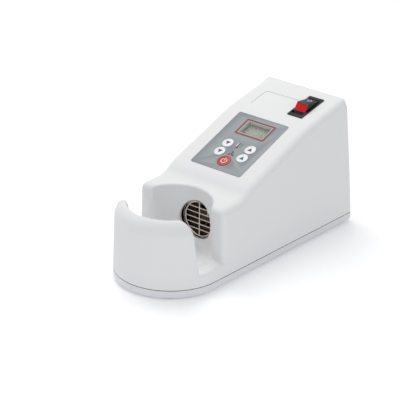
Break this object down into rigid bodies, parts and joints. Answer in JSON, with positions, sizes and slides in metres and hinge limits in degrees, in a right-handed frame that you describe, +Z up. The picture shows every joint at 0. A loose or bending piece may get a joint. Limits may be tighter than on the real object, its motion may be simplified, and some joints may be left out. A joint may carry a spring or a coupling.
{
  "type": "eyeglass frame heater",
  "caption": "Bench hot-air eyeglass frame heater: housing with a side-slotted warming cup, keypad with display, rocker switch and inner blower",
  "frame": {"origin": "centre of the bounding box at the underside of the rubber feet", "axes": "+X to the right seen from the cup, +Y from the cup to the rear wall, +Z up"},
  "size_m": [0.105, 0.26, 0.1295],
  "materials": {
    "white_housing": "satin",
    "grey_tray": "satin",
    "feet_rubber": "matte",
    "screw_steel": "satin",
    "panel_grey": "satin",
    "window_clear": "polished",
    "lcd_glass": "satin",
    "board_green": "satin",
    "black_plastic": "satin",
    "key_white": "satin",
    "key_red": "gloss",
    "rocker_red": "gloss",
    "tube_steel": "polished",
    "wire_steel": "satin",
    "mica": "satin",
    "heater_wire": "matte",
    "cutout_body": "satin",
    "sheet_steel": "satin",
    "duct_black": "satin",
    "impeller_white": "satin",
    "motor_steel": "satin",
    "transformer_yellow": "satin",
    "heatsink_black": "satin",
    "pin_brass": "polished"
  },
  "bodies": {
    "case": {"upper_housing": "white_housing", "base_tray": "grey_tray", "rubber_feet": "feet_rubber", "case_screws": "screw_steel", "control_overlay": "panel_grey", "display_window": "window_clear", "lcd_module": "lcd_glass", "control_pcb": "board_green", "pcb_screws": "screw_steel", "tact_switches": "black_plastic", "switch_body": "black_plastic", "outlet_tube": "tube_steel", "outlet_grille": "wire_steel", "mica_sleeve": "mica", "mica_former": "mica", "heater_coil": "heater_wire", "thermal_cutout": "cutout_body", "temp_probe": "wire_steel", "heater_bracket": "sheet_steel", "air_duct": "duct_black", "duct_screws": "screw_steel", "blower_housing": "duct_black", "fan_motor": "motor_steel", "motor_screws": "screw_steel", "power_board": "board_green", "transformer": "transformer_yellow", "triac_heatsink": "heatsink_black", "power_inlet": "black_plastic", "inlet_pins": "pin_brass", "inlet_screws": "screw_steel", "fuse_holder": "black_plastic"},
    "rocker_body": {"rocker": "rocker_red"},
    "fan": {"impeller": "impeller_white"},
    "key_temp_down_cap": {"key_temp_down": "key_white"},
    "key_temp_up_cap": {"key_temp_up": "key_white"},
    "key_fan_down_cap": {"key_fan_down": "key_white"},
    "key_fan_up_cap": {"key_fan_up": "key_white"},
    "key_power_cap": {"key_power": "key_red"}
  },
  "joints": [
    {"name": "switch_rocker", "type": "hinge", "parent": "case", "child": "rocker_body", "pos_m": [0.023, 0.08868, 0.11944], "axis": [1, 0, 0], "range_deg": [-16, 0]},
    {"name": "fan_spin", "type": "hinge", "parent": "case", "child": "fan", "pos_m": [0, 0.072, 0.0655], "axis": [1, 0, 0], "continuous": true},
    {"name": "key_temp_down_press", "type": "slide", "parent": "case", "child": "key_temp_down_cap", "axis": [0, 0.3675, -0.93], "range_m": [0, 0.0005], "stiffness_N_per_m": 400, "springref_m": -0.0005},
    {"name": "key_temp_up_press", "type": "slide", "parent": "case", "child": "key_temp_up_cap", "axis": [0, 0.3675, -0.93], "range_m": [0, 0.0005], "stiffness_N_per_m": 400, "springref_m": -0.0005},
    {"name": "key_fan_down_press", "type": "slide", "parent": "case", "child": "key_fan_down_cap", "axis": [0, 0.3675, -0.93], "range_m": [0, 0.0005], "stiffness_N_per_m": 400, "springref_m": -0.0005},
    {"name": "key_fan_up_press", "type": "slide", "parent": "case", "child": "key_fan_up_cap", "axis": [0, 0.3675, -0.93], "range_m": [0, 0.0005], "stiffness_N_per_m": 400, "springref_m": -0.0005},
    {"name": "key_power_press", "type": "slide", "parent": "case", "child": "key_power_cap", "axis": [0, 0.3675, -0.93], "range_m": [0, 0.0005], "stiffness_N_per_m": 400, "springref_m": -0.0005}
  ]
}
